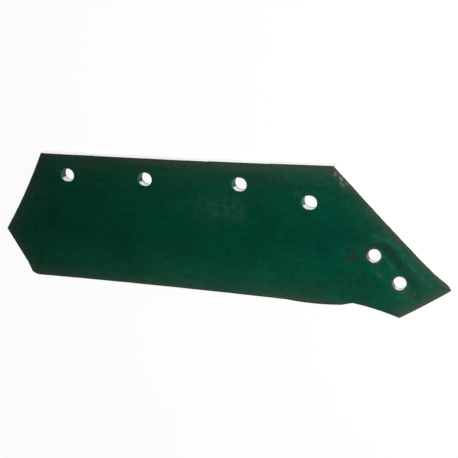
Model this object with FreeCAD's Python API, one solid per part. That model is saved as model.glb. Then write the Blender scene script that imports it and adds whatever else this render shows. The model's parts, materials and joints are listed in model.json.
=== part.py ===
"""A right-hand plough share: one flat steel plate, punched for its bolts.

The plate lies on its back with the working face up.  While it is drawn, X runs along the
cutting edge from the tail tip to the nose, Y runs from the cutting edge up to the top edge,
and the back lies at Z = 0.  The finished plate is then centred on its own box, so the origin
is at the middle of the surface that it lies on.  Lengths are millimetres, angles degrees.
"""
import FreeCAD, Part
import math
import os

from FreeCAD import Placement, Rotation, Vector

# ---------------------------------------------------------------- plate and long edges
plate_width = 145.8             # cutting edge to top edge
plate_thickness = 10.0
top_edge_length = 342.5
top_edge_hollow = 1.1           # sag of the top edge from a straight line
cutting_edge_hollow = 0.9       # sag of the cutting edge from a straight line
landside_angle = 45.9           # landside edge against the top edge
landside_hollow = 0.9           # sag of the landside edge from a straight line

# ---------------------------------------------------------------- tail end
tail_tip_height = 54.0          # tail tip above the cutting edge
tail_upper_run = 56.5           # tail tip to top corner, along the share
tail_upper_hollow = 2.1         # how deep the upper tail cut is hollowed
tail_lower_run = 24.4           # tail tip to the top of the heel
heel_height = 15.0              # top of the heel above the cutting edge
heel_run = 5.0                  # the heel leans in this far before its corner
heel_corner_height = 3.6
heel_corner_run = 10.0
heel_corner_bulge = 0.9         # round of the heel corner, from its chord

# ---------------------------------------------------------------- nose
nose_shoulder_height = 43.0     # end of the long landside edge
nose_snub_length = 19.2         # flatter stretch before the nose tip
nose_snub_angle = 38.0
nose_end_length = 5.6           # blunt end of the nose
nose_end_angle = 62.5
tip_edge_angle = 33.4           # tip edge against the cutting edge
tip_edge_bulge = 0.5            # swell of the tip edge from a straight line
toe_drop = 7.9                  # how far the toe reaches below the cutting edge
toe_hollow = 1.2                # sag of the edge between the toe and the notch
toe_round = 1.5
notch_run = 48.5                # toe to the notch behind it, along the share
notch_height = 3.2
notch_round = 9.0
notch_step_run = 12.0           # from the notch back down to the cutting edge
belly_run = 60.0                # low swelling of the cutting edge behind the notch
belly_drop = 1.5

# ---------------------------------------------------------------- sharpening on the back
edge_thickness = 4.0            # steel left at the sharpened edges
cutting_bevel_width = 20.0
tip_bevel_width = 13.0

# ---------------------------------------------------------------- bolt holes of the blade
blade_hole_height = 14.4        # the holes are round-ended slots, long along the share
blade_hole_stretch = 2.0
blade_hole_inset = 24.4         # row of holes below the top edge
first_hole_run = 32.4           # top corner at the tail to the first hole
second_hole_gap = 97.0
third_hole_gap = 110.0
fourth_hole_gap = 76.0
fourth_hole_drop = 14.8         # the fourth hole sits lower than the other three

# ---------------------------------------------------------------- point seat in the nose
nose_hole_diameter = 13.4
nose_hole_spacing = 37.2
nose_hole_inset = 34.8          # line of the nose holes behind the landside edge
nose_hole_tip_gap = 30.5        # second nose hole behind the tip edge
seat_tilt = 11.0                # the seat leans down towards the landside
seat_fold_inset = 12.0          # start of the seat behind the line of its holes
seat_rim_radius = 18.5          # rim of the seat round each hole, on the face
seat_wall_slope = 24.0          # wall of the seat against the face
seat_valley_round = 8.0         # round between the seat and its wall
seat_rim_round = 12.0           # round between the wall and the face

# ---------------------------------------------------------------- small edge work
face_edge_round = 0.8           # arris round the working face
hole_rim_break = 0.4            # broken edge of each hole on the working face
tool_reach = 30.0               # how far a cutting tool reaches past the steel
face_tolerance = 0.01


def arc_through(start, end, sag):
    """Arc from start to end, bowed by the sag to the left of that direction."""
    chord = end - start
    left = Vector(-chord.y, chord.x, 0)
    left.normalize()
    middle = (start + end) * 0.5 + left * sag
    return Part.Arc(start, middle, end).toShape()


def line(start, end):
    """Straight edge from start to end."""
    return Part.LineSegment(start, end).toShape()


def direction(angle):
    """Unit vector in the plane of the plate, at an angle from +X."""
    radians = math.radians(angle)
    return Vector(math.cos(radians), math.sin(radians), 0)


def outline_points():
    """Corners of the plate, clockwise from the tail tip."""
    at = {}
    at["tail_tip"] = Vector(0, tail_tip_height, 0)
    at["top_tail"] = Vector(tail_upper_run, plate_width, 0)
    at["top_nose"] = at["top_tail"] + Vector(top_edge_length, 0, 0)
    landside_fall = plate_width - nose_shoulder_height
    landside_length = landside_fall / math.sin(math.radians(landside_angle))
    at["shoulder"] = at["top_nose"] + direction(-landside_angle) * landside_length
    at["snub"] = at["shoulder"] + direction(-nose_snub_angle) * nose_snub_length
    at["nose_tip"] = at["snub"] + direction(-nose_end_angle) * nose_end_length
    tip_fall = at["nose_tip"].y + toe_drop
    tip_edge_length = tip_fall / math.sin(math.radians(tip_edge_angle))
    at["toe"] = at["nose_tip"] - direction(tip_edge_angle) * tip_edge_length
    at["notch"] = Vector(at["toe"].x - notch_run, notch_height, 0)
    at["notch_foot"] = Vector(at["notch"].x - notch_step_run, 0, 0)
    at["belly_end"] = Vector(at["notch_foot"].x - belly_run, 0, 0)
    at["heel_top"] = Vector(tail_lower_run, heel_height, 0)
    at["heel_low"] = Vector(tail_lower_run + heel_run, heel_corner_height, 0)
    at["heel_foot"] = Vector(at["heel_low"].x + heel_corner_run, 0, 0)
    return at


def round_corner(plate, corner, radius):
    """Round one upright corner of the plate."""
    upright = []
    for edge in plate.Edges:
        box = edge.BoundBox
        middle = Vector(box.Center.x, box.Center.y, 0)
        tall = box.ZLength > plate_thickness / 2
        if tall and middle.distanceToPoint(corner) < face_tolerance:
            upright.append(edge)
    return plate.makeFillet(radius, upright)


def make_plate(at):
    """The plate with its outline and thickness and its rounded corners."""
    edges = [
        arc_through(at["tail_tip"], at["top_tail"], -tail_upper_hollow),
        arc_through(at["top_tail"], at["top_nose"], -top_edge_hollow),
        arc_through(at["top_nose"], at["shoulder"], -landside_hollow),
        line(at["shoulder"], at["snub"]),
        line(at["snub"], at["nose_tip"]),
        arc_through(at["nose_tip"], at["toe"], tip_edge_bulge),
        arc_through(at["toe"], at["notch"], -toe_hollow),
        line(at["notch"], at["notch_foot"]),
        arc_through(at["notch_foot"], at["belly_end"], belly_drop),
        arc_through(at["belly_end"], at["heel_foot"], -cutting_edge_hollow),
        arc_through(at["heel_foot"], at["heel_low"], heel_corner_bulge),
        line(at["heel_low"], at["heel_top"]),
        line(at["heel_top"], at["tail_tip"]),
    ]
    plate = Part.Face(Part.Wire(edges)).extrude(Vector(0, 0, plate_thickness))
    plate = round_corner(plate, at["notch"], notch_round)
    plate = round_corner(plate, at["toe"], toe_round)
    return plate


def soften_face_edge(plate):
    """Round the arris between the working face and the sides."""
    arris = [edge for edge in plate.Edges
             if edge.BoundBox.ZMin > plate_thickness - face_tolerance]
    return plate.makeFillet(face_edge_round, arris)


def wedge(start, end, width, fall):
    """Steel below a sloping plane on the back, along one edge of the plate.

    The plane leaves the back at the given width inside the edge and stands at the given
    fall where it reaches the edge.  It runs on past every end of the plate.
    """
    along = end - start
    along.normalize()
    inward = Vector(along.y, -along.x, 0)
    reach = tail_upper_run + top_edge_length + 2 * plate_width
    slope = fall / width
    outside = start - along * reach - inward * reach
    inside = start - along * reach + inward * (width + tool_reach)
    below = Vector(0, 0, -tool_reach * slope)
    above = Vector(0, 0, (width + reach) * slope)
    triangle = Part.Face(Part.makePolygon([
        outside + below, outside + above, inside + below, outside + below]))
    return triangle.extrude(along * (2 * reach))


def sharpening(at):
    """What is ground off the back along the cutting edge, the toe and the tip edge.

    The blade and the toe meet at an inner corner, so only what lies under both planes goes.
    """
    fall = plate_thickness - edge_thickness
    heel = Vector(at["heel_foot"].x, 0, 0)
    blade = wedge(at["notch_foot"], heel, cutting_bevel_width, fall)
    toe = wedge(at["toe"], at["notch"], cutting_bevel_width, fall)
    tip = wedge(at["nose_tip"], at["toe"], tip_bevel_width, fall)
    return blade.common(toe).fuse(tip)


def slot_wire(stretch, radius, height):
    """Round-ended slot along X, or a circle where there is no stretch."""
    if stretch < face_tolerance:
        return Part.Wire(Part.makeCircle(radius, Vector(0, 0, height)))
    half = stretch / 2
    left_top = Vector(-half, radius, height)
    right_top = Vector(half, radius, height)
    right_low = Vector(half, -radius, height)
    left_low = Vector(-half, -radius, height)
    right_end = Part.Arc(right_top, Vector(half + radius, 0, height), right_low).toShape()
    left_end = Part.Arc(left_low, Vector(-half - radius, 0, height), left_top).toShape()
    return Part.Wire([line(left_top, right_top), right_end, line(right_low, left_low), left_end])


def hole_tool(diameter, stretch):
    """Punch for one hole, with its broken rim, standing on the surface at Z = 0."""
    radius = diameter / 2
    depth = plate_thickness + tool_reach
    punch = Part.Face(slot_wire(stretch, radius, -depth)).extrude(Vector(0, 0, 2 * depth))
    rim_low = slot_wire(stretch, radius, -hole_rim_break)
    rim_high = slot_wire(stretch, radius + 2 * hole_rim_break, hole_rim_break)
    return punch.fuse(Part.makeLoft([rim_low, rim_high], True, True))


def blade_holes(at):
    """The four holes that bolt the share to the frog, as cutting tools."""
    gaps = [first_hole_run, second_hole_gap, third_hole_gap, fourth_hole_gap]
    drops = [0.0, 0.0, 0.0, fourth_hole_drop]
    centre = at["top_tail"] + Vector(0, -blade_hole_inset, plate_thickness)
    tools = []
    for gap, drop in zip(gaps, drops):
        centre = centre + Vector(gap, -drop, 0)
        tool = hole_tool(blade_hole_height, blade_hole_stretch)
        tool.translate(centre)
        tools.append(tool)
    return tools


def seat_frame(at):
    """Placement of the point seat: X along its holes, Y out to the landside, Z up."""
    along = direction(-landside_angle)
    outward = Vector(-along.y, along.x, 0)
    inside_tip = Vector(-math.sin(math.radians(tip_edge_angle)),
                        math.cos(math.radians(tip_edge_angle)), 0)
    row_start = at["top_nose"] - outward * nose_hole_inset
    gap_at_start = (row_start - at["toe"]).dot(inside_tip)
    run = (nose_hole_tip_gap - gap_at_start) / along.dot(inside_tip)
    middle = row_start + along * (run - nose_hole_spacing / 2)
    middle.z = plate_thickness
    return Placement(middle, Rotation(Vector(0, 0, 1), -landside_angle))


def seat_tool():
    """The hollow of the seat, drawn round its own middle with the face at Z = 0.

    A sloping wall runs round both holes, and the floor is one plane that starts at a fold
    in the face and leans down towards the landside.
    """
    steepness = math.tan(math.radians(seat_wall_slope))
    widening = seat_rim_radius
    narrowing = 0.8 * seat_rim_radius
    upper = slot_wire(nose_hole_spacing, seat_rim_radius + widening, widening * steepness)
    lower = slot_wire(nose_hole_spacing, seat_rim_radius - narrowing, -narrowing * steepness)
    bowl = Part.makeLoft([upper, lower], True, True)
    size = 4 * (nose_hole_spacing + seat_rim_radius)
    above_floor = Part.makeBox(size, size, size, Vector(-size / 2, -size / 2, 0))
    above_floor.rotate(Vector(0, 0, 0), Vector(1, 0, 0), -seat_tilt)
    above_floor.translate(Vector(0, 0, -seat_depth_at_holes()))
    hollow = bowl.common(above_floor)
    floor_edges = floor_face(hollow).Edges
    return hollow.makeFillet(seat_valley_round, floor_edges)


def floor_face(hollow):
    """The tilted floor among the faces of the hollow."""
    tilt = math.cos(math.radians(seat_tilt))
    for face in hollow.Faces:
        normal = face.normalAt(0, 0)
        if abs(abs(normal.z) - tilt) < face_tolerance / 10 and isinstance(face.Surface, Part.Plane):
            return face
    raise ValueError("the seat has no floor")


def seat_depth_at_holes():
    """Depth of the seat's floor below the face, on the line of its holes."""
    return seat_fold_inset * math.tan(math.radians(seat_tilt))


def nose_holes():
    """The two holes that take the point's bolts, square to the floor of the seat."""
    tools = []
    for side in (-1, 1):
        tool = hole_tool(nose_hole_diameter, 0.0)
        tool.rotate(Vector(0, 0, 0), Vector(1, 0, 0), -seat_tilt)
        tool.translate(Vector(side * nose_hole_spacing / 2, 0, -seat_depth_at_holes()))
        tools.append(tool)
    return tools


def soften_seat_rim(plate, frame):
    """Round the rim between the seat and the working face."""
    reach = nose_hole_spacing / 2 + 2 * seat_rim_radius
    rim = []
    for edge in plate.Edges:
        box = edge.BoundBox
        flat = box.ZMin > plate_thickness - face_tolerance
        if flat and box.Center.distanceToPoint(frame.Base) < reach:
            rim.append(edge)
    return plate.makeFillet(seat_rim_round, rim)


def centred(plate):
    """Move the plate so that the middle of its box is over the origin."""
    middle = plate.BoundBox.Center
    plate.translate(Vector(-middle.x, -middle.y, 0))
    return plate


def main():
    """Build the share and write it."""
    at = outline_points()
    plate = soften_face_edge(make_plate(at))
    plate = plate.cut(sharpening(at))
    frame = seat_frame(at)
    hollow = seat_tool()
    hollow.Placement = frame.multiply(hollow.Placement)
    plate = soften_seat_rim(plate.cut(hollow), frame)
    for tool in blade_holes(at):
        plate = plate.cut(tool)
    for tool in nose_holes():
        tool.Placement = frame.multiply(tool.Placement)
        plate = plate.cut(tool)
    share = centred(plate)
    os.makedirs("parts", exist_ok=True)
    share.exportStep("parts/plough_share.step")
    print("plough share", round(share.Volume), "mm3", "valid", share.isValid())


main()
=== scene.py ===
# %% [markdown]
# A plough share, lying on its back
# =================================
# A plough share is the steel blade that cuts the bottom of the furrow.  This one is a single
# flat plate: a long blade with a row of bolt holes, a pointed nose, and a shallow sunk seat
# in the nose where a hardened point is bolted on.  It is sold in dark green paint, with the
# edges still bright from the shears.
#
# The shape of the plate is finished: it comes from the CAD model, and a plate like this has
# nothing soft or loose on it.  So this lesson is about everything that turns a plain shape
# into an object that somebody could pick up: the camera, the room, and above all the paint.

# %% Load the share as a fixed frame
import json
import math

import bpy
from mathutils import Matrix, Vector


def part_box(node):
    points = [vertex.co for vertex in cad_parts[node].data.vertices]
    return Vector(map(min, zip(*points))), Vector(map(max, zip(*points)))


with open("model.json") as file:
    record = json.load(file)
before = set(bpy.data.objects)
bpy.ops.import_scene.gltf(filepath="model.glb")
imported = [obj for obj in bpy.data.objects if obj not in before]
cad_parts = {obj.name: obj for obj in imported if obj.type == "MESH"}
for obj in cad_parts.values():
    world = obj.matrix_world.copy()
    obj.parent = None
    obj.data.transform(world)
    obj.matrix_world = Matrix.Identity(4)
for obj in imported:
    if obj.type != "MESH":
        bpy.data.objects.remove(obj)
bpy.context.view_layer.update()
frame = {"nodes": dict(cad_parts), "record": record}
share = frame["nodes"]["plough_share"]
low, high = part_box("plough_share")
print("the share measures", [round(1000 * side, 1) for side in high - low], "mm")

# %% [markdown]
# The camera
# ----------
# Blender's camera is an object like any other, and its place is best thought of from the
# thing it looks at: how far away, how high above the floor, from which side, and how much
# the picture is turned.  A long lens from about a metre keeps the two long edges of the
# blade nearly parallel.  A short lens close by would make the near end look swollen.

# %% Put up the camera
lens_mm = 78.6
look_at = Vector((0.02406, 0.00370, high.z))
distance = 1.0532
side_on, above, turned = (math.radians(angle) for angle in (35.276, 61.902, -124.478))

towards_camera = Vector((math.cos(above) * math.cos(side_on),
                         math.cos(above) * math.sin(side_on),
                         math.sin(above)))
camera_data = bpy.data.cameras.new("camera")
camera_data.lens = lens_mm
camera_data.sensor_width = 36.0
camera = bpy.data.objects.new("camera", camera_data)
aim = towards_camera.to_track_quat("Z", "Y").to_matrix().to_4x4()
spot = Matrix.Translation(look_at + towards_camera * distance)
camera.matrix_world = spot @ aim @ Matrix.Rotation(turned, 4, "Z")
bpy.context.scene.collection.objects.link(camera)
bpy.context.scene.camera = camera
bpy.context.scene.view_settings.view_transform = "Standard"
print("the camera stands", distance, "m away,", round(math.degrees(above)), "degrees up")

# %% [markdown]
# A little node language
# ----------------------
# Materials, the floor and the room are all built from nodes, and wiring nodes one by one
# makes long code that nobody can read.  A handful of small helpers fixes that.  Each adds
# one node to the tree that is being worked on and returns its output, so a recipe reads
# like arithmetic: calc("MULTIPLY", mask, 0.5) is a mask at half strength.

# %% Helpers that add one node each
tree = None


def work_on(node_tree):
    """Choose the node tree that the helpers add to."""
    global tree
    tree = node_tree
    return tree


def feed(value, socket):
    """Give a socket a plain value, or link another node's output to it."""
    if isinstance(value, bpy.types.NodeSocket):
        tree.links.new(value, socket)
    else:
        socket.default_value = value


def calc(operation, first, second=0.0, clamp=False):
    """Arithmetic on numbers."""
    node = tree.nodes.new("ShaderNodeMath")
    node.operation = operation
    node.use_clamp = clamp
    feed(first, node.inputs[0])
    feed(second, node.inputs[1])
    return node.outputs[0]


def ramp(value, zero_at, one_at):
    """A soft step from 0 to 1.  It falls instead of rising when zero_at is the larger."""
    node = tree.nodes.new("ShaderNodeMapRange")
    node.interpolation_type = "SMOOTHSTEP"
    feed(value, node.inputs["Value"])
    node.inputs["From Min"].default_value = zero_at
    node.inputs["From Max"].default_value = one_at
    return node.outputs[0]


print("helpers: work_on, feed, calc, ramp")

# %% [markdown]
# The room
# --------
# Dark paint shows the room in its gloss, so the room matters as much as the lamps.  A white
# band runs round the horizon, and the ceiling is nearly black.  The cut edges of the plate
# look sideways and catch the white, which is why they gleam, while the face looks up into
# the dark and keeps its deep green.  The world shader can do this by itself: the direction
# of each ray is a point on a unit ball, and its height on the ball sets the brightness.

# %% A room with bright walls and a dark ceiling
world = bpy.data.worlds.new("room")
bpy.context.scene.world = world
world.use_nodes = True
work_on(world.node_tree)
ray = tree.nodes.new("ShaderNodeTexCoord")
split = tree.nodes.new("ShaderNodeSeparateXYZ")
feed(ray.outputs["Generated"], split.inputs[0])
ceiling_glow = 0.03
ceiling_starts, walls_end = 0.75, 0.30
walls = ramp(split.outputs["Z"], ceiling_starts, walls_end)
brightness = calc("ADD", calc("MULTIPLY", walls, 1 - ceiling_glow), ceiling_glow)
background = tree.nodes["Background"]
background.inputs["Color"].default_value = (1.0, 1.0, 1.0, 1.0)
feed(brightness, background.inputs["Strength"])
print("the walls shine at 1 and the ceiling at", ceiling_glow)

# %% [markdown]
# The lamps
# ---------
# Two soft boxes do the rest.  The key hangs over the nose, close enough that the light
# falls off along the blade: the nose is about twice as bright as the tail.  The second box
# stands low and far behind the top edge.  It skims over the face and lands on the cut
# edges and on the walls of the bolt holes.

# %% Hang two soft boxes
def soft_box(name, place, aimed_at, watts, width, height):
    """A rectangular area lamp that points at a place."""
    lamp = bpy.data.lights.new(name, "AREA")
    lamp.shape = "RECTANGLE"
    lamp.size = width
    lamp.size_y = height
    lamp.energy = watts
    box = bpy.data.objects.new(name, lamp)
    box.location = place
    box.rotation_mode = "QUATERNION"
    box.rotation_quaternion = (Vector(place) - Vector(aimed_at)).to_track_quat("Z", "Y")
    bpy.context.scene.collection.objects.link(box)
    return box


over_the_nose, seat_middle = (0.62, 0.10, 0.50), (0.20, 0.0, 0.0)
behind_top_edge, top_edge_middle = (0.1, 1.8, 0.30), (0.0, 0.07, 0.0)
key_watts, edge_watts = 7.5, 5.0
key = soft_box("key", over_the_nose, seat_middle, key_watts, 0.4, 0.4)
edge_light = soft_box("edge_light", behind_top_edge, top_edge_middle, edge_watts, 1.2, 0.4)
print("lamps:", key.name, edge_light.name)

# %% [markdown]
# The floor
# ---------
# The share lies on white paper.  Real paper under these lamps would come out pale grey, so
# the rays that are seen, straight from the camera or in a gloss, find paper that mostly
# glows by itself.  A little of the real paper is left in the mix, and that part keeps the
# faint shadow that ties the plate to the ground.

# %% Lay down white paper
paper_size = 30.0
paper_gap = 0.0001
paper_white = 0.85
glow_share = 0.93
bpy.ops.mesh.primitive_plane_add(size=paper_size, location=(0, 0, low.z - paper_gap))
paper = bpy.context.object
paper.name = "paper"
paper_look = bpy.data.materials.new("white_paper")
paper_look.use_nodes = True
paper.data.materials.append(paper_look)
work_on(paper_look.node_tree)
real_paper = tree.nodes["Principled BSDF"]
real_paper.inputs["Base Color"].default_value = (paper_white, paper_white, paper_white, 1.0)
real_paper.inputs["Roughness"].default_value = 0.9
real_paper.inputs["Specular IOR Level"].default_value = 0.1
glow = tree.nodes.new("ShaderNodeEmission")
path = tree.nodes.new("ShaderNodeLightPath")
seen = calc("MAXIMUM", path.outputs["Is Camera Ray"], path.outputs["Is Glossy Ray"])
seen = calc("MAXIMUM", seen, path.outputs["Is Transmission Ray"])
blend = tree.nodes.new("ShaderNodeMixShader")
feed(calc("MULTIPLY", seen, glow_share), blend.inputs[0])
feed(real_paper.outputs[0], blend.inputs[1])
feed(glow.outputs[0], blend.inputs[2])
feed(blend.outputs[0], tree.nodes["Material Output"].inputs["Surface"])
print("the paper lies", 1000 * paper_gap, "mm under the share")

# %% [markdown]
# Landmarks
# ---------
# Paint wears at edges, so the paint has to know where the edges are.  The corners of the
# plate can be read from the mesh: the corner furthest in some direction is found by asking
# every vertex how far it reaches that way.  That can't find an inner corner, such as the
# shoulder that ends the long landside edge or the notch behind the toe, so those two are
# set off from their neighbours.  The bolt holes are named in the model's record.
# Everything from here on is in millimetres, the unit that a blacksmith would use.

# %% Find the corners and the bolt holes
def furthest(x, y):
    """The corner of the plate that reaches furthest in a direction, in millimetres."""
    towards = Vector((x, y, 0.0))
    best = max((vertex.co for vertex in share.data.vertices), key=towards.dot)
    return Vector((1000 * best.x, 1000 * best.y, 0.0))


tail_tip = furthest(-1, 0)
top_tail = furthest(-1, 2)
top_nose = furthest(1, 3)
landside_angle, landside_length = -45.9, 143.1
seat_row = math.radians(landside_angle)
shoulder = top_nose + Vector((math.cos(seat_row), math.sin(seat_row), 0.0)) * landside_length
nose_tip = furthest(1, 0)
toe = furthest(0, -1)
toe_to_notch = Vector((-48.5, 11.1, 0.0))
notch = toe + toe_to_notch
heel = furthest(-2, -3)
heel_foot = furthest(-1, -20)

mounts = {mount["name"]: mount for mount in frame["record"]["mounts"]}


def bolt_centres(name, spacing, angle=0.0):
    """The two holes of a bolt pattern, in millimetres."""
    at = mounts[name]["pos_m"]
    middle = Vector((1000 * at[0], 1000 * at[1], 0.0))
    half = Vector((math.cos(angle), math.sin(angle), 0.0)) * spacing / 2
    return [middle - half, middle + half]


tail_pair = bolt_centres("blade_bolts_tail", mounts["blade_bolts_tail"]["dims"]["spacing_x_mm"])
middle_pair = bolt_centres("blade_bolts_middle", mounts["blade_bolts_middle"]["dims"]["spacing_x_mm"])
lone_bolt = Vector((1000 * mounts["blade_bolt_nose"]["pos_m"][0],
                    1000 * mounts["blade_bolt_nose"]["pos_m"][1], 0.0))
point_pair = bolt_centres("point_bolts", mounts["point_bolts"]["dims"]["pcd_mm"], seat_row)
blade_bolts = [tail_pair[0], tail_pair[1], middle_pair[1], lone_bolt]
for name, corner in (("tail tip", tail_tip), ("top at the tail", top_tail),
                     ("top at the nose", top_nose), ("shoulder", shoulder),
                     ("nose tip", nose_tip), ("toe", toe), ("heel", heel)):
    print(name, [round(number, 1) for number in corner.xy])
print("the seat's bolts run at", landside_angle, "degrees")

# %% [markdown]
# Places and noises
# -----------------
# The material needs three ways to speak about a point of the steel: where it is, how far it
# is from an edge, and what a random but steady pattern says there.  A noise texture is such
# a pattern.  Stretched along one axis it turns into streaks, which is what a rolling mill
# leaves on plate.

# %% Start the paint and its coordinates
green_paint = bpy.data.materials.new("green_paint")
green_paint.use_nodes = True
work_on(green_paint.node_tree)
shader = tree.nodes["Principled BSDF"]
coordinates = tree.nodes.new("ShaderNodeTexCoord")


def vector_calc(operation, first, second=(0.0, 0.0, 0.0), scale=1.0, out=0):
    """Arithmetic on places and directions."""
    node = tree.nodes.new("ShaderNodeVectorMath")
    node.operation = operation
    feed(first, node.inputs[0])
    if operation == "SCALE":
        feed(scale, node.inputs["Scale"])
    else:
        feed(second, node.inputs[1])
    return node.outputs[out]


def parts_of(vector):
    """The X, Y and Z of a vector."""
    node = tree.nodes.new("ShaderNodeSeparateXYZ")
    feed(vector, node.inputs[0])
    return node.outputs


def pattern(size, seed, detail=3.0, stretch=(1.0, 1.0, 1.0), roughness=0.5):
    """A steady random pattern, about 0.5 on average, with features of a size in mm."""
    node = tree.nodes.new("ShaderNodeTexNoise")
    node.inputs["Scale"].default_value = 1.0
    node.inputs["Detail"].default_value = detail
    node.inputs["Roughness"].default_value = roughness
    squeezed = vector_calc("MULTIPLY", place, tuple(1.0 / (size * side) for side in stretch))
    feed(vector_calc("ADD", squeezed, (seed * 7.31, seed * 3.17, seed * 5.83)), node.inputs["Vector"])
    return node.outputs[0]


place = vector_calc("SCALE", coordinates.outputs["Object"], scale=1000.0)
flat_place = vector_calc("MULTIPLY", place, (1.0, 1.0, 0.0))
along, across, height = parts_of(place)
faces_nose, faces_top, upward = parts_of(coordinates.outputs["Normal"])
print("the paint works in millimetres")

# %% [markdown]
# Layers
# ------
# Paint on steel is a stack, and so is this material.  It starts with a full coat of green
# and lays thinner and thinner stories over it: uneven coverage, a grey film near the edges
# that is partly dust and partly painted sheen, rust, scuffs, and bare metal last.  Some
# stories are painted light: painted shade at the tail and in the seat's valley, painted sheen
# and highlight above the cutting edge and on the seat's ridge.  Each story is a colour and a mask.

# %% Helpers for layers and masks
def layer(under, over, mask):
    """Lay one colour over another where the mask is high."""
    node = tree.nodes.new("ShaderNodeMix")
    node.data_type = "RGBA"
    feed(mask, node.inputs["Factor"])
    feed(under if isinstance(under, bpy.types.NodeSocket) else (*under, 1.0), node.inputs["A"])
    feed(over if isinstance(over, bpy.types.NodeSocket) else (*over, 1.0), node.inputs["B"])
    return node.outputs["Result"]


def shade(colour, amount):
    """Multiply a colour by a number that changes over the surface."""
    return vector_calc("SCALE", colour, scale=amount)


def around(value, middle, swing):
    """Turn a 0 to 1 pattern into a number that swings about a middle."""
    return calc("ADD", calc("MULTIPLY", value, 2 * swing), middle - swing)


def both(first, second):
    """Where two masks agree."""
    return calc("MULTIPLY", first, second)


def either(first, second):
    """Where at least one mask is high."""
    return calc("MAXIMUM", first, second)


def weaker(mask, strength):
    """A mask at part of its strength."""
    return calc("MULTIPLY", mask, strength)


print("helpers: layer, shade, around, both, either, weaker")

# %% Helpers for places on the plate
def inside_edge(start, end, hollow=0.0):
    """Millimetres inward from an edge that runs clockwise, with the sag of its curve."""
    run = end - start
    length = run.length
    run.normalize()
    inward = Vector((run.y, -run.x, 0.0))
    offset = vector_calc("SUBTRACT", flat_place, tuple(start))
    straight = vector_calc("DOT_PRODUCT", offset, tuple(inward), out=1)
    if hollow == 0.0:
        return straight
    share_of_run = vector_calc("DOT_PRODUCT", offset, tuple(run / length), out=1)
    from_middle = around(share_of_run, 0.0, 1.0)
    sag = calc("MULTIPLY", calc("SUBTRACT", 1.0, calc("POWER", calc("ABSOLUTE", from_middle), 2.0)), hollow)
    return calc("SUBTRACT", straight, sag)


def fading(distance_in, reach, strength=1.0):
    """A mask that is strongest at an edge and dies away over a reach in millimetres."""
    safe = calc("MAXIMUM", distance_in, 0.0)
    return weaker(calc("EXPONENT", calc("MULTIPLY", safe, -1.0 / reach)), strength)


def blot(centre, radius, softness, wobble=None):
    """A round mark.  A wobble pattern makes its outline ragged."""
    gap = vector_calc("DISTANCE", flat_place, (centre[0], centre[1], 0.0), out=1)
    if wobble is not None:
        gap = calc("ADD", gap, wobble)
    return ramp(gap, radius + softness, max(radius - softness, 0.0))


def stroke(start, end, width, softness, wobble=None):
    """A straight mark from start to end, as wide as a brush or a scratching stone."""
    run = Vector((end[0] - start[0], end[1] - start[1], 0.0))
    offset = vector_calc("SUBTRACT", flat_place, (start[0], start[1], 0.0))
    share_of_run = vector_calc("DOT_PRODUCT", offset, tuple(run / run.length_squared), out=1)
    nearest = vector_calc("SCALE", tuple(run), scale=calc("ADD", share_of_run, 0.0, clamp=True))
    gap = vector_calc("DISTANCE", offset, nearest, out=1)
    if wobble is not None:
        gap = calc("ADD", gap, wobble)
    return ramp(gap, width / 2 + softness, max(width / 2 - softness, 0.0))


def ring(centre, inner, outer, softness):
    """A band round a hole."""
    gap = vector_calc("DISTANCE", flat_place, tuple(centre), out=1)
    return both(ramp(gap, inner - softness, inner + softness), ramp(gap, outer + softness, outer - softness))


print("helpers: inside_edge, fading, blot, stroke, ring")

# %% Distances from the edges of the plate
top_hollow, landside_hollow, tail_hollow = 1.1, 0.9, 2.1
from_top = inside_edge(top_tail, top_nose, top_hollow)
from_landside = inside_edge(top_nose, shoulder, landside_hollow)
from_tip_edge = inside_edge(nose_tip, toe)
from_blade_edge = inside_edge(Vector((notch.x, heel_foot.y, 0)), heel_foot)
from_toe_edge = inside_edge(toe, notch)
from_cutting_edge = either(from_blade_edge, from_toe_edge)
from_tail_low = inside_edge(heel, tail_tip)
from_tail_high = inside_edge(tail_tip, top_tail, tail_hollow)
on_face = ramp(upward, 0.55, 0.85)
print("six edges measured")

# %% [markdown]
# The green coat
# --------------
# One dip of paint on rolled plate is never one green, and it is streaked along the way the
# plate was rolled.  The coat is also darkened at the tail, a painted shade, and lightened in a
# band above the cutting edge, a painted sheen.  The paint is written at its true strength,
# about four percent green light and almost no red.
# Four patterns of different sizes make it drift: broad clouds, streaks as long as a finger,
# a mottle and a fine grain.

# %% Coat the share in green
deep_green = (0.0003, 0.0400, 0.0215)
blue_green = (0.0003, 0.0395, 0.0222)
clouds = pattern(60.0, 1, detail=2.0)
streaks = pattern(6.0, 2, detail=3.0, stretch=(6.0, 1.0, 1.0))
mottle = pattern(6.0, 3, detail=4.0, roughness=0.65)
grain = pattern(1.6, 4, detail=2.0)
towards_tip = ramp(along, 60.0, 180.0)
coat = layer(deep_green, blue_green, towards_tip)
coat = shade(coat, around(clouds, 1.0, 0.45))
coat = shade(coat, around(streaks, 1.0, 0.18))
coat = shade(coat, around(mottle, 1.0, 0.40))
coat = shade(coat, around(grain, 1.0, 0.25))
tail_painted_shade, low_sheen = 0.22, 0.24
# The coat is darkened towards the tail: painted shade on top of the lamp's own falloff.
painted_shade_at_tail = blot((-205.0, 20.0), 75.0, 70.0)
# A band above the cutting edge is lightened: a painted sheen.
painted_sheen_low_down = stroke((-190.0, -44.0), (55.0, -60.0), 26.0, 24.0)
coat = shade(coat, calc("SUBTRACT", 1.0, weaker(painted_shade_at_tail, tail_painted_shade)))
coat = shade(coat, calc("ADD", 1.0, weaker(painted_sheen_low_down, low_sheen)))
print("green coat from", deep_green, "to", blue_green)
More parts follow.
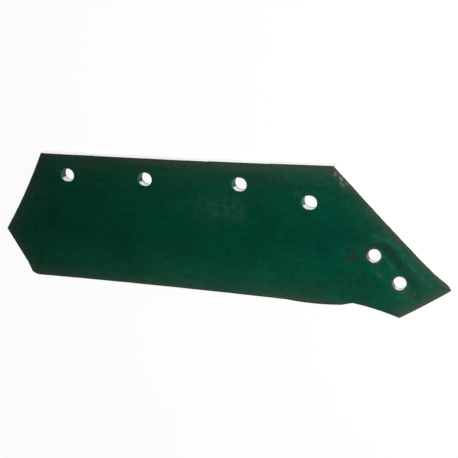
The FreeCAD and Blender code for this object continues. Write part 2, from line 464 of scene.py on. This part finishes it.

# %% [markdown]
# Dust and painted sheen near the edges
# -------------------------------------
# Sprayed paint pulls back from a sharp edge, and what is left there is thin and greyish
# brown with dust.  The same greyish brown also stands for the sheen that the edges show, so
# this layer is partly dust and partly painted sheen.  An exponential of the distance gives
# that look: strong within a few millimetres of the edge and gone after a few centimetres.
# Each edge has its own strength, since the top and the landside were handled the most.  On
# the cutting edge it is weaker towards the toe.

# %% Let the edges gather dust and painted sheen
dust_and_sheen_grey, dust_and_sheen_brown = (0.062, 0.074, 0.050), (0.046, 0.034, 0.023)
top_at_tail = both(ramp(along, -10.0, -120.0), ramp(across, 30.0, 55.0))
dust_and_sheen_colour = layer(dust_and_sheen_grey, dust_and_sheen_brown, top_at_tail)
edge_strengths = ((from_top, 0.40, 0.30), (from_landside, 0.50, 0.14), (from_tip_edge, 0.45, 0.26),
                  (from_tail_low, 0.30, 0.22), (from_tail_high, 0.26, 0.18))
near_reach, wide_reach = 3.0, 13.0


def edge_dust_and_sheen(distance_in, near, wide):
    """A strong narrow band of dust and painted sheen and a weak wide one, added."""
    return calc("ADD", fading(distance_in, near_reach, near), fading(distance_in, wide_reach, wide))


dust_and_sheen = 0.0
for distance_in, near, wide in edge_strengths:
    dust_and_sheen = either(dust_and_sheen, edge_dust_and_sheen(distance_in, near, wide))
cutting_dust_and_sheen = edge_dust_and_sheen(from_cutting_edge, 0.36, 0.24)
weaker_at_toe = calc("SUBTRACT", 1.0, weaker(ramp(along, 100.0, 160.0), 0.65))
dust_and_sheen = either(dust_and_sheen, both(cutting_dust_and_sheen, weaker_at_toe))
dust_and_sheen = both(dust_and_sheen, around(mottle, 1.0, 0.45))
dust_and_sheen = both(dust_and_sheen, around(streaks, 1.0, 0.35))
# Greyish brown at the edges: partly dust and partly painted sheen.
colour = layer(coat, dust_and_sheen_colour, calc("MULTIPLY", dust_and_sheen, on_face, clamp=True))
print("bloom along", len(edge_strengths) + 1, "edges")

# %% [markdown]
# The worn line at the rim
# ------------------------
# Right at the rim of the face the paint has been rubbed off and the steel has gone brown.
# The line is a millimetre or two wide, and a ragged pattern keeps it from looking drawn.

# %% Brown the rim
rim_brown = (0.030, 0.028, 0.019)
ragged = pattern(3.0, 5, detail=4.0, roughness=0.65)
wander = around(pattern(18.0, 6, detail=2.0), 0.0, 1.6)
rim_edges = ((from_top, 2.2, 0.85), (from_landside, 1.6, 0.30), (from_tip_edge, 1.6, 0.45),
             (from_cutting_edge, 1.5, 0.75), (from_tail_low, 1.5, 0.70), (from_tail_high, 1.7, 0.75))
rim = 0.0
for distance_in, width, strength in rim_edges:
    wandering = calc("ADD", distance_in, wander)
    rim = either(rim, weaker(ramp(wandering, width + 1.2, width - 1.0), strength))
rim = both(rim, ramp(ragged, 0.30, 0.55))
colour = layer(colour, rim_brown, both(rim, on_face))
print("brown rim on", len(rim_edges), "edges")

# %% [markdown]
# Bolt holes
# ----------
# Punching a hole lifts the scale round it, and handling the bolts wears it, so each hole
# has a thin brown collar, heavier on the two holes of the seat.  A ring mask is the product
# of two ramps on the distance from the hole's middle: one that rises at the hole and one
# that falls a little further out.

# %% Brown collars round the holes
collar_brown = (0.040, 0.034, 0.020)
hole_wobble = around(pattern(5.0, 7, detail=3.0), 0.0, 2.0)
collars = 0.0
for centre in blade_bolts:
    collars = either(collars, weaker(ring(centre, 6.0, 8.8, 0.9), 0.40))
for centre in point_pair:
    collars = either(collars, weaker(ring(centre, 5.8, 9.0, 0.9), 0.80))
collars = both(collars, ramp(pattern(4.0, 8, detail=3.0), 0.36, 0.56))
colour = layer(colour, collar_brown, both(collars, on_face))
print("collars on", len(blade_bolts) + len(point_pair), "holes")

# %% [markdown]
# The story of the seat
# ---------------------
# The seat in the nose was pressed hot.  Dark green lies in the valley along the landside,
# partly paint that pooled there and partly painted shade, and the ridge beside the holes and
# the strip beyond are light, partly thin paint and partly painted highlight.  The point has
# scraped a few bright lines where it was tried on.  These marks are drawn one by one as
# short strokes, in millimetres, because their places matter.  A stroke is the distance from
# a line that has two ends, put through a ramp.

# %% Light and dark strokes in the seat
frayed = around(pattern(4.0, 9, detail=3.0, roughness=0.6), 0.0, 3.0)
pooled_paint_and_shade = either(weaker(stroke((193.0, -3.0), (207.0, -21.0), 7.0, 4.0, frayed), 0.9),
                weaker(blot((225.3, -51.7), 4.0, 3.0, frayed), 0.6))
thin_paint_and_highlight = either(weaker(stroke((181.0, 6.5), (194.0, 4.5), 4.0, 3.5, frayed), 0.8),
                 weaker(stroke((194.0, 4.5), (206.0, -4.0), 4.0, 3.5, frayed), 0.9))
thin_paint_and_highlight = either(thin_paint_and_highlight, weaker(stroke((187.0, -11.0), (199.0, -24.0), 3.0, 3.0, frayed), 0.6))
thin_paint_and_highlight = either(thin_paint_and_highlight, weaker(stroke((212.0, -12.0), (236.0, -38.0), 9.0, 6.0, frayed), 0.55))
pool_and_shade_green, thin_and_highlight_green = (0.0002, 0.0310, 0.0180), (0.0120, 0.0780, 0.0560)
# Dark strokes in the valley are partly pooled paint and partly painted shade; light strokes on the ridge and
# strip are partly thin paint and partly painted highlight.
colour = layer(colour, pool_and_shade_green, weaker(both(pooled_paint_and_shade, on_face), 0.60))
colour = layer(colour, thin_and_highlight_green, weaker(both(thin_paint_and_highlight, on_face), 0.50))
print("dark paint in the valley, light paint on the ridges")

# %% Scrapes from the point
scraped_green = (0.045, 0.130, 0.100)
scrapes = 0.0
scrape_lines = (((209.2, -7.2), (209.8, -15.5), 0.9, 0.75), ((209.8, -15.5), (211.4, -18.3), 0.9, 0.60),
                ((214.5, -16.5), (218.4, -21.1), 1.0, 0.50), ((218.4, -21.1), (224.3, -27.5), 1.6, 0.85),
                ((224.3, -27.5), (226.8, -34.2), 1.4, 0.70), ((228.4, -28.8), (230.9, -34.6), 1.1, 0.70),
                ((221.5, -43.0), (221.6, -51.2), 0.9, 0.70), ((175.3, -24.1), (186.5, -34.7), 1.6, 0.30),
                ((207.0, -49.5), (214.0, -53.0), 1.4, 0.35), ((230.0, -36.0), (238.0, -40.0), 1.0, 0.30))
for start, end, width, strength in scrape_lines:
    scrapes = either(scrapes, weaker(stroke(start, end, width, 0.8), strength))
scrapes = both(scrapes, ramp(pattern(2.2, 10, detail=3.0), 0.38, 0.62))
colour = layer(colour, scraped_green, weaker(both(scrapes, on_face), 0.45))
print("scrapes in the seat:", len(scrape_lines))

# %% [markdown]
# Stains and scuffs
# -----------------
# Damp got under the paint in a few places near the seat and left brown stains with dark
# specks.  The top corner at the nose is where the share was dropped: a grey scuff with a
# few bright nicks.  A stain is a blot multiplied by a pattern with a hard threshold, which
# breaks it into freckles.

# %% Brown stains
freckles = ramp(pattern(4.5, 11, detail=3.0, roughness=0.6), 0.36, 0.62)
damp_places = (((158.3, -14.5), 7.0, 1.00), ((151.0, -19.0), 6.0, 0.45), ((163.0, -46.0), 15.0, 0.35),
               ((152.0, -52.0), 10.0, 0.30), ((170.0, -2.0), 7.0, 0.25), ((46.0, 45.0), 5.0, 0.40))
rust_places = (((186.1, -32.7), 3.5, 0.22), ((216.1, -50.9), 5.0, 0.32), ((205.0, 4.5), 4.5, 0.40),
               ((193.3, 14.7), 4.0, 0.25), ((104.0, 46.5), 4.0, 0.35), ((139.0, 72.0), 6.0, 0.60),
               ((176.0, 30.0), 4.0, 0.35))


def stained(places):
    """One mask for a list of stains, each with a middle, a radius and a strength."""
    mask = 0.0
    for centre, radius, strength in places:
        mask = either(mask, weaker(blot(centre, radius, radius * 0.7, hole_wobble), strength))
    return both(both(mask, freckles), on_face)


damp, rust = stained(damp_places), stained(rust_places)
damp_brown, rust_brown = (0.0110, 0.0200, 0.0090), (0.0480, 0.0420, 0.0250)
colour = layer(colour, damp_brown, weaker(damp, 0.75))
colour = layer(colour, rust_brown, rust)
stains = either(damp, rust)
print("stains:", len(damp_places) + len(rust_places))

# %% Dark specks
speck_green = (0.002, 0.012, 0.007)
speck_radius = 0.9
specks = 0.0
speck_places = ((155.8, -46.6), (163.2, -51.7), (153.1, -10.4), (179.8, 3.4), (148.0, -36.0),
                (169.0, -57.0), (-60.0, 28.0), (12.0, -8.0), (-118.0, -22.0))
for centre in speck_places:
    specks = either(specks, blot(centre, speck_radius, speck_radius))
colour = layer(colour, speck_green, weaker(both(specks, on_face), 0.60))
print("specks:", len(speck_places))

# %% Scuffed corner and nicked edge
scuff = blot((146.5, 65.0), 11.0, 8.0, frayed)
scuff = both(scuff, ramp(from_landside, 11.0, 3.0))
scuff = both(scuff, ramp(pattern(3.0, 12, detail=4.0, roughness=0.7), 0.34, 0.62))
scuff_grey, nick_grey = (0.055, 0.056, 0.038), (0.130, 0.145, 0.110)
colour = layer(colour, scuff_grey, weaker(both(scuff, on_face), 0.80))

nicks = 0.0
nick_lines = (((141.1, 70.9), (141.7, 67.7), 1.6, 0.55), ((146.8, 65.4), (147.9, 63.4), 2.4, 0.80),
              ((148.0, 59.4), (149.6, 57.6), 2.6, 0.55), ((152.0, 61.0), (153.6, 59.0), 1.6, 0.35))
for start, end, width, strength in nick_lines:
    nicks = either(nicks, weaker(stroke(start, end, width, 1.4, frayed), strength))
colour = layer(colour, nick_grey, both(nicks, on_face))
print("nicks:", len(nick_lines))

# %% [markdown]
# Faint marks on the blade
# ------------------------
# A pale patch in the middle of the blade is where another share lay on it in the stack, so
# its right side is the sharper one.  Near the top corner at the tail, a few rubbed streaks run
# along the blade.  Both are very weak: a mark that is only just seen does more for the
# eye than one that shouts.

# %% A pale patch and rubbed streaks
patch = both(ramp(along, -30.0, 8.0), ramp(calc("ADD", along, wander), 49.0, 38.0))
patch = both(patch, both(ramp(across, 4.0, 24.0), ramp(across, 46.0, 26.0)))
patch = both(patch, ramp(mottle, 0.30, 0.62))
patch_green, rubbed_grey = (0.032, 0.075, 0.047), (0.040, 0.050, 0.040)
colour = layer(colour, patch_green, weaker(both(patch, on_face), 0.26))

rubbed = pattern(2.4, 13, detail=3.0, stretch=(22.0, 1.0, 1.0))
near_tail_corner = both(ramp(along, -90.0, -150.0), ramp(across, 44.0, 60.0))
rubbed = both(ramp(rubbed, 0.52, 0.66), near_tail_corner)
colour = layer(colour, rubbed_grey, weaker(both(rubbed, on_face), 0.30))
print("faint marks on the blade")

# %% [markdown]
# Bare steel
# ----------
# The sides of the plate were cut after rolling, and the paint hardly holds on them.  The
# normal of the surface says which way it faces: pointing up it is the face, pointing
# sideways it is a cut side or the wall of a hole.  Steel is a metal to the shader: its
# colour tints the reflection, so it shows the white walls of the room.  Fine upright lines
# are the marks of the shears.  Inside the blade's holes green overspray clings to the wall
# that faces the nose, the two holes of the seat are brown with rust, and every hole ends in
# a thin dark line along its back rim.

# %% Cut sides
sideways = ramp(calc("ABSOLUTE", upward), 0.72, 0.45)
shear_marks = pattern(1.1, 14, detail=3.0, stretch=(1.0, 1.0, 14.0))
dull_steel, bright_steel, rust_red = (0.80, 0.79, 0.77), (0.95, 0.95, 0.94), (0.30, 0.18, 0.09)
steel = layer(dull_steel, bright_steel, shear_marks)
rust_spots = ramp(pattern(5.0, 15, detail=5.0, roughness=0.7), 0.60, 0.72)
steel = layer(steel, rust_red, weaker(rust_spots, 0.35))
colour = layer(colour, steel, sideways)
print("bare steel on the sides")

# %% Hole walls
past_slot, past_round = 9.5, 8.5
in_holes, in_point_holes = 0.0, 0.0
for centre in blade_bolts:
    in_holes = either(in_holes, blot(centre, past_slot, 0.5))
for centre in point_pair:
    in_point_holes = either(in_point_holes, blot(centre, past_round, 0.5))
turned_up = calc("ADD", faces_top, around(ragged, 0.0, 0.35))
far_wall = both(ramp(faces_nose, 0.00, 0.20), ramp(turned_up, 0.70, 0.40))
overspray = both(both(in_holes, sideways), far_wall)
rusty_wall = both(both(in_point_holes, sideways), ramp(turned_up, 0.80, 0.60))
thick_spray, thin_spray = (0.002, 0.050, 0.040), (0.024, 0.120, 0.098)
spray_green = layer(thick_spray, thin_spray, ramp(mottle, 0.35, 0.65))
colour = layer(colour, spray_green, overspray)
wall_rust, back_rim_dark, back_rim_darkness = (0.050, 0.042, 0.028), (0.070, 0.050, 0.046), 0.80
colour = layer(colour, wall_rust, rusty_wall)
hole_walls = both(either(in_holes, in_point_holes), sideways)
# Each hole's wall is darker in a thin line along its back rim.
back_rim = weaker(both(hole_walls, ramp(calc("ADD", height, wander), 2.4, 0.8)), back_rim_darkness)
colour = layer(colour, back_rim_dark, back_rim)
painted_walls = either(either(overspray, rusty_wall), back_rim)
bare = both(sideways, calc("SUBTRACT", 1.0, painted_walls))
bare = both(bare, calc("SUBTRACT", 1.0, weaker(rust_spots, 0.5)))
print("walls finished in", len(blade_bolts) + len(point_pair), "holes")

# %% [markdown]
# Roughness and relief
# --------------------
# Two more properties finish the paint.  Roughness spreads the gloss: new paint is satin,
# the dust and painted sheen at the edges and the stains are dull, and steel is brushed.
# Relief is a bump map, a height in millimetres that tilts the light without moving the
# mesh: the mill's long waves, the peel of sprayed paint, a little pit wherever rust sits,
# and a groove for every scrape.

# %% Dull what is worn and the painted sheen, and add the relief
# This mask gathers the real wear and the painted sheen at the edges, which both dull the gloss.
worn_and_sheen = either(either(dust_and_sheen, rim), either(stains, collars))
satin, extra_dull = 0.33, 0.35
gloss = calc("ADD", satin, weaker(worn_and_sheen, extra_dull))
gloss = calc("ADD", gloss, around(mottle, 0.0, 0.06))
gloss = calc("ADD", gloss, weaker(sideways, 0.05), clamp=True)

wave_mm, peel_mm, pit_mm, groove_mm, shear_mm = 0.10, 0.012, 0.03, 0.06, 0.06
waves = weaker(pattern(28.0, 16, detail=1.0, stretch=(3.0, 1.0, 1.0)), wave_mm)
peel = weaker(pattern(1.5, 17, detail=2.0), peel_mm)
relief = calc("ADD", waves, peel)
relief = calc("SUBTRACT", relief, weaker(either(stains, rim), pit_mm))
relief = calc("SUBTRACT", relief, weaker(either(scrapes, nicks), groove_mm))
relief = calc("ADD", relief, both(weaker(shear_marks, shear_mm), sideways))
bump = tree.nodes.new("ShaderNodeBump")
bump.inputs["Strength"].default_value = 1.0
bump.inputs["Distance"].default_value = 0.001
feed(relief, bump.inputs["Height"])
print("relief in mm: waves", wave_mm, "peel", peel_mm, "pits", pit_mm, "grooves", groove_mm)

# %% Give the share its material
paint_gloss = 0.08
feed(colour, shader.inputs["Base Color"])
feed(bare, shader.inputs["Metallic"])
feed(gloss, shader.inputs["Roughness"])
feed(bump.outputs["Normal"], shader.inputs["Normal"])
shader.inputs["Specular IOR Level"].default_value = paint_gloss
share.data.materials.clear()
share.data.materials.append(green_paint)
print("nodes in the paint:", len(tree.nodes), "polygons:", len(share.data.polygons))
